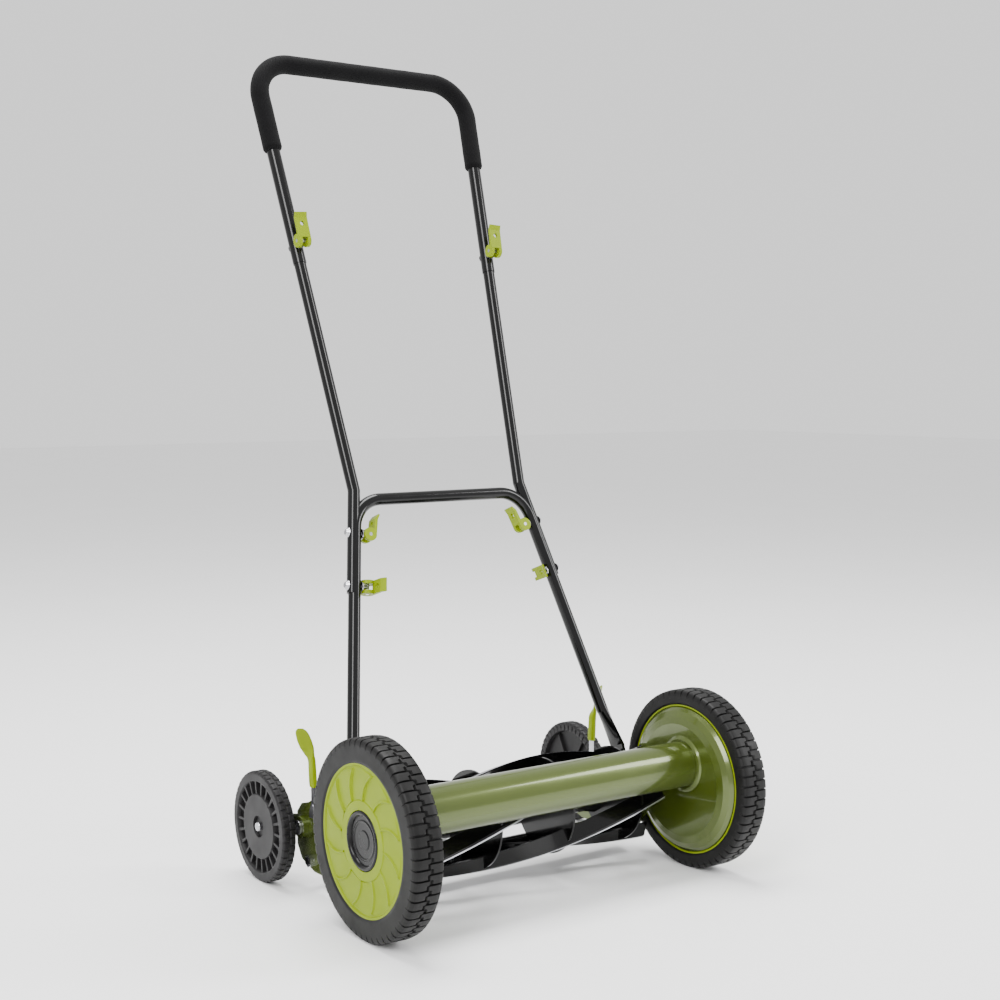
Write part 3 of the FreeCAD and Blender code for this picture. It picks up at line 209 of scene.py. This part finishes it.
lime = finish("lime_plastic", (0.185, 0.25, 0.0), (0.175, 0.237, 0.0), (0.34, 0.42),
              grain=60, relief=0.000008, relief_scale=1400, specular=0.12)
green = finish("green_metal", (0.068, 0.094, 0.010), (0.056, 0.079, 0.008), (0.2, 0.25),
               metallic=0.45, coat=0.5, grain=3200, relief=0.000002, relief_scale=2600)
rubber = finish("tyre_rubber", (0.006, 0.0058, 0.0056), (0.004, 0.0039, 0.0038), (0.44, 0.56),
                grain=90, relief=0.00004, relief_scale=1100, specular=0.2)
wheel_plastic = finish("wheel_plastic", (0.011, 0.0105, 0.011), (0.009, 0.0085, 0.009),
                       (0.4, 0.5), grain=120, relief=0.00002, relief_scale=1600, specular=0.2)
gloss_black = finish("gloss_black", (0.0022, 0.0022, 0.0024), (0.0016, 0.0016, 0.0017),
                     (0.12, 0.17), coat=0.2, grain=80, relief=0.000005, relief_scale=700,
                     specular=0.2)
black_plastic = finish("black_plastic", (0.004, 0.004, 0.0043), (0.003, 0.003, 0.0032),
                       (0.22, 0.3), grain=150, relief=0.00001, relief_scale=1500, specular=0.22)
foam = finish("foam", (0.0048, 0.0046, 0.005), (0.0026, 0.0026, 0.0028), (0.84, 0.92),
              grain=1300, relief=0.00016, relief_scale=1100, cells=True, sheen=0.03,
              specular=0.08)
steel = finish("plated_steel", (0.46, 0.46, 0.48), (0.37, 0.37, 0.39), (0.2, 0.32), metallic=1.0,
               grain=500, relief=0.00001, relief_scale=1500)
brushed = finish("brushed_steel", (0.50, 0.50, 0.53), (0.39, 0.39, 0.42), (0.26, 0.38),
                 metallic=1.0, grain=900, stretch=(1, 1, 0.05), relief=0.000015)
SLOT_FINISH = {
    "lime_plastic": lime, "green_metal": green, "tyre_rubber": rubber, "foam": foam,
    "black_plastic": black_plastic, "wheel_plastic": wheel_plastic,
    "black_paint": gloss_black, "bare_steel": steel,
}


def dress(piece, material):
    """One finish over a whole new piece."""
    piece.data.materials.clear()
    piece.data.materials.append(material)


for part in frame["record"]["subparts"]:
    node = nodes[part["node"]]
    for index in range(max(1, len(node.material_slots))):
        if not node.material_slots:
            node.data.materials.append(SLOT_FINISH[part["material_slot"]])
        node.material_slots[index].material = SLOT_FINISH[part["material_slot"]]
for name, _side in SIDES:
    nodes[f"lever_strip_{name}"].material_slots[0].material = brushed
print(len(SLOT_FINISH), "finishes by slot")

# %% [markdown]
# ## Softened edges
# Pressed plates, cast levers and bolt heads never have a perfectly sharp edge. A narrow bevel
# catches a thin line of light along each one, and doesn't change the outer size.

# %% Bevelled edges
BEVELS = {
    "side_plate_left": 0.5, "side_plate_right": 0.5, "height_arm_left": 0.5,
    "height_arm_right": 0.5, "clamp_bolts": 0.5, "pivot_bolts": 0.5, "tie_rod_nuts": 0.5,
    "knife_carrier": 0.5,
}
for cam in [name for name in nodes if name.startswith("cam_lever_")]:
    BEVELS[cam] = 0.6
for name, width in BEVELS.items():
    bevel = nodes[name].modifiers.new("edges", "BEVEL")
    bevel.width = width / 1000
    bevel.segments = 2
    bevel.limit_method = "ANGLE"
    bevel.angle_limit = math.radians(40)
print(len(BEVELS), "nodes with softened edges")

# %% [markdown]
# ## Front tyres
# A solid rubber ring is moulded with two rows of blocks, staggered by half a pitch, either side
# of a zig-zag groove. Height is one formula over the width and the turn: the ring keeps its full
# radius on a block and drops by the groove's depth elsewhere.

# %% Front tyres
BLOCKS = 58
TREAD_DEPTH = 0.0030
axle_y = sum(corner[1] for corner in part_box("front_tyre_left")) / 2
wheel_z = sum(corner[2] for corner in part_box("front_tyre_left")) / 2
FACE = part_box("front_tyre_right")[1][0]
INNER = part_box("front_tyre_right")[0][0]


def tread(x, radius, turn):
    """Blocks on the crown and shoulders: grooves where the block pattern is low."""
    across = (np.abs(x) - INNER) / (FACE - INNER)
    phase = turn * BLOCKS / (2 * np.pi)
    zigzag = 0.5 + 0.045 * np.tanh(9 * np.sin(2 * np.pi * phase))
    centre = 1 - smooth_step(0.022, 0.040, np.abs(across - zigzag))
    row = np.where(across > zigzag, 0.5, 0.0)
    place = (phase + row) % 1
    between = 1 - smooth_step(0.06, 0.10, np.minimum(place, 1 - place))
    reach = smooth_step(0.1150, 0.1185, radius)
    depth = TREAD_DEPTH * np.maximum(centre, between) * reach
    return x, radius - depth


for name, side in SIDES:
    outline = [
        (0.2524, 0.105), (0.2524, 0.106), (0.2464, 0.106), (0.2446, 0.1082), (INNER, 0.111),
        (INNER, 0.1195), (0.2456, 0.1235), (0.2480, 0.1262), (0.2530, 0.127), (0.2790, 0.127),
        (0.2836, 0.1262), (0.2862, 0.1235), (FACE, 0.1195), (FACE, 0.1000), (0.2868, 0.0985),
        (0.2859, 0.09625), (0.2830, 0.09625), (0.2830, 0.105),
    ]
    tyre = spun(f"tyre_{name}", [(side * x, r) for x, r in outline], axle_y, wheel_z,
                BLOCKS * 20, 0.0016, tread, crease=40)
    dress(tyre, rubber)
    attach(tyre, f"front_wheel_body_{name}")
    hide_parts(f"front_tyre_{name}")

# %% [markdown]
# ## Swept ribs on the front wheels
# Twelve narrow ribs run from a raised ring round the hub towards the rim, and bend over like fan
# blades. Behind each one the disc slopes gently away to the next. One wave in the turn, shifted
# more and more with radius, gives all twelve at once.

# %% Front wheel ribs
RIBS = 12
RIB_LOW, RIB_HIGH = 0.0510, 0.0920
LINE_HEIGHT, SLOPE_HEIGHT = 0.0017, 0.0008
RIB_COLUMNS = 1080
WEB = FACE - 0.0030


def rib_height(radius, turn, side):
    """Narrow ribs with a slope behind each, faded out at the rim."""
    outwards = (radius - RIB_LOW) / (RIB_HIGH - RIB_LOW)
    skew = math.radians(15) * np.clip(outwards, 0, 1) ** 1.8 + math.radians(4)
    place = (side * (turn + side * skew) * RIBS / (2 * np.pi)) % 1
    line = smooth_step(0, 0.025, place) * (1 - smooth_step(0.075, 0.11, place))
    slope = smooth_step(0, 0.025, place) * (1 - smooth_step(0.075, 0.90, place))
    fade = smooth_step(0.0498, 0.0510, radius) * (1 - smooth_step(0.0885, 0.0905, radius))
    return (LINE_HEIGHT * line + SLOPE_HEIGHT * slope) * fade


for name, side in SIDES:
    top = np.linspace(0.0512, 0.0918, 56)
    lid = np.stack([np.full_like(top, WEB), top], 1)
    base = np.stack([np.full_like(top, WEB - 0.0004), top], 1)[::-1]
    loop = np.vstack([lid, base])
    turn = np.linspace(0, 2 * np.pi, RIB_COLUMNS, endpoint=False)[None, :]
    radius = np.repeat(loop[:, 1][:, None], RIB_COLUMNS, 1)
    raised = np.where(loop[:, 0][:, None] >= WEB, rib_height(radius, turn, side) + 0.00004, 0)
    x = side * (loop[:, 0][:, None] + raised)
    grid = np.stack([x, axle_y + radius * np.cos(turn), wheel_z + radius * np.sin(turn)], -1)
    ribs = surface(f"wheel_ribs_{name}", grid, True, crease=50)
    dress(ribs, lime)
    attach(ribs, f"front_wheel_body_{name}")

# %% [markdown]
# ## Hub caps
# A glossy cap snaps into each front wheel. Its rim bulges like a bead, and a few shallow rings
# step down to a plain middle. All of it is one outline turned about the axle.

# %% Hub caps
CAP_R = (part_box("hub_cap_right")[1][2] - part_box("hub_cap_right")[0][2]) / 2
CAP = [
    (-0.0076, 0.00005), (-0.0076, CAP_R - 0.0080), (-0.0066, CAP_R - 0.0050),
    (-0.0066, CAP_R - 0.0020), (-0.0116, CAP_R - 0.0020), (-0.0116, CAP_R),
    (-0.0026, CAP_R), (-0.0014, CAP_R - 0.0006), (-0.0006, CAP_R - 0.0018),
    (-0.0004, CAP_R - 0.0032), (-0.0010, CAP_R - 0.0048), (-0.0026, CAP_R - 0.0064),
    (-0.0046, CAP_R - 0.0072), (-0.0048, CAP_R - 0.0120), (-0.0040, CAP_R - 0.0128),
    (-0.0040, CAP_R - 0.0146), (-0.0048, CAP_R - 0.0154), (-0.0050, 0.0128),
    (-0.0042, 0.0120), (-0.0042, 0.00005),
]
for name, side in SIDES:
    cap = spun(f"cap_{name}", [(side * (FACE + x), r) for x, r in CAP], axle_y, wheel_z, 192,
               0.0012, crease=50)
    dress(cap, black_plastic)
    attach(cap, f"front_wheel_body_{name}")
    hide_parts(f"hub_cap_{name}")

# %% [markdown]
# ## Rear wheels
# Small hard plastic wheels: a ring of pockets lightens the outer face, ribs stiffen the inner
# face, and two rows of small blocks on the rim grip the grass. The pockets and ribs are heights
# added to a turned outline, so they share its smooth centre and rim.

# %% Rear wheels
POCKETS = 22
POCKET_DEPTH, INNER_RIB_HEIGHT = 0.0055, 0.0050
BLOCK_DEPTH, NOTCH_DEPTH = 0.0014, 0.0012
REAR_R = 0.077
rear_y = sum(corner[1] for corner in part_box("rear_wheel_left")) / 2
REAR_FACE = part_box("rear_wheel_right")[1][0]
REAR_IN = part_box("rear_wheel_right")[0][0]


def rear_form(x, radius, turn):
    """Pockets outside, ribs and a notched ring inside, and two rows of blocks on the tread."""
    side = np.sign(x)
    depth_in = REAR_FACE - np.abs(x)
    wide = REAR_FACE - REAR_IN
    place = (turn * POCKETS / (2 * np.pi)) % 1
    ring = smooth_step(0.0452, 0.0462, radius) * (1 - smooth_step(0.0618, 0.0628, radius))
    gap = smooth_step(0.11, 0.16, np.minimum(place, 1 - place))
    pocket = POCKET_DEPTH * ring * gap * (depth_in < 0.004)
    rib_place = (turn * 6 / (2 * np.pi)) % 1
    rib = 1 - smooth_step(0.022, 0.034, np.minimum(rib_place, 1 - rib_place))
    inner_ring = smooth_step(0.0145, 0.0160, radius) * (1 - smooth_step(0.060, 0.0618, radius))
    raised = INNER_RIB_HEIGHT * rib * inner_ring * (depth_in > wide / 2)
    across = 1 - depth_in / wide
    bars = (turn * 2 * POCKETS / (2 * np.pi) + np.where(across > 0.5, 0.5, 0)) % 1
    slit = 1 - smooth_step(0.10, 0.17, np.minimum(bars, 1 - bars))
    middle = 1 - smooth_step(0.03, 0.07, np.abs(across - 0.5))
    crown = smooth_step(0.0735, 0.0762, radius)
    rim = smooth_step(0.0650, 0.0658, radius) * (1 - smooth_step(0.0722, 0.0730, radius))
    notch = NOTCH_DEPTH * rim * slit * (depth_in > wide - 0.0015)
    drop = BLOCK_DEPTH * np.maximum(slit, middle) * crown
    return x - side * (pocket + raised - notch), radius - drop


for name, side in SIDES:
    outline = [
        (REAR_IN + 0.001, 0.00505), (REAR_IN + 0.001, 0.013), (REAR_IN + 0.008, 0.0142),
        (REAR_IN + 0.008, 0.062), (REAR_IN + 0.0005, 0.0638), (REAR_IN, 0.0655),
        (REAR_IN, 0.0735), (REAR_IN + 0.0012, 0.0762), (REAR_IN + 0.003, REAR_R),
        (REAR_FACE - 0.003, REAR_R), (REAR_FACE - 0.0012, 0.0762), (REAR_FACE, 0.0735),
        (REAR_FACE, 0.0640), (REAR_FACE - 0.0012, 0.0628), (REAR_FACE - 0.0015, 0.0455),
        (REAR_FACE - 0.0006, 0.0445), (REAR_FACE - 0.0006, 0.0150),
        (REAR_FACE - 0.0046, 0.0140), (REAR_FACE - 0.0046, 0.00505),
    ]
    wheel = spun(f"rear_wheel_form_{name}", [(side * x, r) for x, r in outline], rear_y, REAR_R,
                 POCKETS * 44, 0.0013, rear_form, crease=45)
    dress(wheel, wheel_plastic)
    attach(wheel, f"rear_wheel_body_{name}")
    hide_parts(f"rear_wheel_{name}")

# %% [markdown]
# ## Foam grip
# A tube of closed-cell foam is pushed over the bow. It follows the bow's straight, corners and
# arms, swells very slightly between the places where hands press it, and rounds off at its
# cut ends. A circle carried along the path makes it, with a bore so that it stays a sleeve.

# %% Foam grip
PITCH = math.radians(71.02)
HANDLE_Y = axle_y + 0.074
ALONG = np.array([0, math.cos(PITCH), math.sin(PITCH)])
AHEAD = np.array([0, -math.sin(PITCH), math.cos(PITCH)])
GRIP = {"cross": 1.228, "half": 0.126, "bend": 0.056, "slope": math.radians(3.76), "end": 1.084}


def bow_path(spacing):
    """Points along the right half of the bow, from its middle down."""
    corner = math.pi / 2 + GRIP["slope"]
    flat = np.arange(0, GRIP["half"], spacing)
    straight = np.stack([flat, np.full_like(flat, GRIP["cross"])], 1)
    turn = np.linspace(0, corner, int(GRIP["bend"] * corner / spacing) + 1)
    centre = np.array([GRIP["half"], GRIP["cross"] - GRIP["bend"]])
    bend = centre + GRIP["bend"] * np.stack([np.sin(turn), np.cos(turn)], 1)
    direction = np.array([math.cos(corner), -math.sin(corner)])
    length = (bend[-1, 1] - GRIP["end"]) / -direction[1]
    arm = bend[-1] + direction * np.linspace(0, length, int(length / spacing) + 1)[1:, None]
    return np.vstack([straight, bend, arm])


FOAM_R, BORE_R = 0.0139, 0.0098
half_path = bow_path(0.0025)
path = np.vstack([half_path[::-1], half_path[1:] * [-1, 1]])
tangent = np.gradient(path, axis=0)
tangent /= np.linalg.norm(tangent, axis=1)[:, None]
normal = np.stack([-tangent[:, 1], tangent[:, 0]], 1)
distance = np.r_[0, np.cumsum(np.linalg.norm(np.diff(path, axis=0), axis=1))]
to_end = np.minimum(distance, distance[-1] - distance)
outer = FOAM_R - 0.0035 * (1 - smooth_step(0, 0.004, to_end))
outer = outer - 0.00012 * (1 + np.sin(distance * 160) * np.sin(distance * 61))
around = np.linspace(0, 2 * np.pi, 64, endpoint=False)


def sleeve(radius):
    """Circles of the given radii carried along the path, in the handle's plane."""
    across = path[:, None, :] + (radius[:, None] * np.cos(around))[:, :, None] * normal[:, None, :]
    depth = radius[:, None] * np.sin(around)
    flat = across[:, :, 1][:, :, None] * ALONG + depth[:, :, None] * AHEAD
    return flat + across[:, :, 0][:, :, None] * np.array([1, 0, 0]) + np.array([0, HANDLE_Y, 0])


bore = np.full(len(path), BORE_R)
grip = surface("foam_sleeve", np.vstack([sleeve(outer), sleeve(bore)[::-1]]), True, crease=60)
dress(grip, foam)
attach(grip, "handle")
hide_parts("foam_grip")

# %% [markdown]
# ## Finger paddles
# Each height lever ends in a moulded paddle: a flat socket over the steel strip, a thin neck and
# a spoon that leans outwards. Rounded sections are carried up a centre line, and their widths
# and thicknesses are blended smoothly between the stations of the mould.

# %% Height paddles
STATION = {
    "z": [0.145, 0.150, 0.165, 0.180, 0.185, 0.190, 0.200, 0.210, 0.220, 0.2255, 0.2275],
    "x": [0.2410, 0.2412, 0.2419, 0.2426, 0.2437, 0.2463, 0.2500, 0.2537, 0.2572, 0.2592, 0.2600],
    "wide": [0.0058, 0.0063, 0.0063, 0.0063, 0.0065, 0.0072, 0.0094, 0.0099, 0.0090, 0.0068, 0.003],
    "thick": [0.0036, 0.0043, 0.0042, 0.0039, 0.0036, 0.0030, 0.0026, 0.0024, 0.0021, 0.0017,
              0.0008],
    "twist": [0, 0, 0, 0, 8, 30, 54, 54, 54, 54, 54],
}
lever_y = axle_y + 0.205
height = np.linspace(STATION["z"][0], STATION["z"][-1], 110)
spot = {key: np.interp(height, STATION["z"], STATION[key]) for key in STATION if key != "z"}
kernel = np.hanning(9) / np.hanning(9).sum()
for key in spot:
    spot[key] = np.convolve(np.pad(spot[key], 4, mode="edge"), kernel, "valid")
angle = np.linspace(0, 2 * np.pi, 72, endpoint=False)
squareness = 0.62
for name, side in SIDES:
    cosines, sines = np.cos(angle), np.sin(angle)
    wide = np.sign(cosines) * np.abs(cosines) ** squareness
    thick = np.sign(sines) * np.abs(sines) ** squareness
    dish = 0.0009 * smooth_step(0.186, 0.196, height)[:, None] * (1 - wide ** 2)
    twist = np.radians(spot["twist"])[:, None]
    out = spot["thick"][:, None] * thick - dish * (thick > 0)
    along = spot["wide"][:, None] * wide
    x = side * (spot["x"][:, None] + out * np.cos(twist) + along * np.sin(twist))
    y = lever_y + along * np.cos(twist) - out * np.sin(twist)
    z = np.repeat(height[:, None], len(angle), 1)
    paddle = surface(f"paddle_{name}", np.stack(np.broadcast_arrays(x, y, z), -1), False, 50)
    dress(paddle, lime)
    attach(paddle, f"height_arm_body_{name}")
    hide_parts(f"height_paddle_{name}")

# %% [markdown]
# ## Ground cutting edges
# The blades are painted black all over, and then their edges are ground to fit the bed knife.
# So the paint gives way to bright steel close to the tip radius, measured from the reel's axis.

# %% Blade finish
reel_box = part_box("reel_shaft")
reel_axis = [(low + high) / 2 for low, high in zip(*reel_box)]
blade_finish = gloss_black.copy()
blade_finish.name = "ground_blade"
tree = blade_finish.node_tree
shader = tree.nodes["Principled BSDF"]
place = tree.nodes.new("ShaderNodeTexCoord")
parts = tree.nodes.new("ShaderNodeVectorMath")
parts.operation = "SUBTRACT"
parts.inputs[1].default_value = (0, reel_axis[1], reel_axis[2])
flatten = tree.nodes.new("ShaderNodeVectorMath")
flatten.operation = "MULTIPLY"
flatten.inputs[1].default_value = (0, 1, 1)
length = tree.nodes.new("ShaderNodeVectorMath")
length.operation = "LENGTH"
mask = tree.nodes.new("ShaderNodeMapRange")
mask.inputs["From Min"].default_value = 0.0699
mask.inputs["From Max"].default_value = 0.0702
tree.links.new(place.outputs["Object"], parts.inputs[0])
tree.links.new(parts.outputs["Vector"], flatten.inputs[0])
tree.links.new(flatten.outputs["Vector"], length.inputs[0])
tree.links.new(length.outputs["Value"], mask.inputs["Value"])
mix = tree.nodes.new("ShaderNodeMix")
mix.data_type = "RGBA"
old = shader.inputs["Base Color"].links[0].from_socket
tree.links.new(mask.outputs["Result"], mix.inputs["Factor"])
tree.links.new(old, mix.inputs[6])
mix.inputs[7].default_value = (0.62, 0.62, 0.66, 1)
tree.links.new(mix.outputs[2], shader.inputs["Base Color"])
tree.links.new(mask.outputs["Result"], shader.inputs["Metallic"])
nodes["reel_blades"].material_slots[0].material = blade_finish
print("reel axis", [round(value, 4) for value in reel_axis])

# %% [markdown]
# ## Studio
# A pale floor, an even pale surround, and three large soft lights. Long lights on both sides
# leave the clean white streaks that show a tube is round and glossy.

# %% Floor, light and camera
floor_mesh = bpy.data.meshes.new("floor")
REACH = 14.0
floor_mesh.from_pydata([(-REACH, -REACH, 0), (REACH, -REACH, 0), (REACH, REACH, 0),
                        (-REACH, REACH, 0)], [], [(0, 1, 2, 3)])
floor = bpy.data.objects.new("floor", floor_mesh)
bpy.context.scene.collection.objects.link(floor)
floor_mesh.materials.append(finish("pale_floor", (0.93, 0.93, 0.93), (0.92, 0.92, 0.92),
                                   (0.5, 0.6), grain=3, relief=0.00001))

world = bpy.data.worlds.new("studio")
bpy.context.scene.world = world
world.use_nodes = True
world.node_tree.nodes["Background"].inputs["Color"].default_value = (0.96, 0.96, 0.96, 1)
world.node_tree.nodes["Background"].inputs["Strength"].default_value = 1.25


def area_light(name, spot, target, width, tall, power):
    """A rectangular soft light aimed at a point."""
    light = bpy.data.lights.new(name, "AREA")
    light.shape = "RECTANGLE"
    light.size, light.size_y = width, tall
    light.energy = power
    holder = bpy.data.objects.new(name, light)
    aim = (Vector(target) - Vector(spot)).to_track_quat("-Z", "Y")
    holder.matrix_world = Matrix.Translation(spot) @ aim.to_matrix().to_4x4()
    bpy.context.scene.collection.objects.link(holder)


area_light("key_light", (-2.6, -1.6, 2.6), (0, 0, 0.5), 1.2, 2.4, 130)
area_light("side_light", (2.6, -1.8, 1.8), (0, 0, 0.5), 0.8, 2.4, 90)
area_light("top_light", (0, 0.6, 3.4), (0, 0, 0.4), 2.4, 1.6, 170)

camera_data = bpy.data.cameras.new("camera")
camera_data.lens = 57.24
camera = bpy.data.objects.new("camera", camera_data)
azimuth, elevation = math.radians(-35.38), math.radians(4.37)
back = Vector((math.sin(azimuth) * math.cos(elevation),
               -math.cos(azimuth) * math.cos(elevation), math.sin(elevation)))
right = Vector((math.cos(azimuth), math.sin(azimuth), 0))
turn = Matrix((right, back.cross(right), back)).transposed().to_4x4()
camera.matrix_world = Matrix.Translation((-1.2616, axle_y - 1.6693, 0.6969)) @ turn
bpy.context.scene.collection.objects.link(camera)
bpy.context.scene.camera = camera
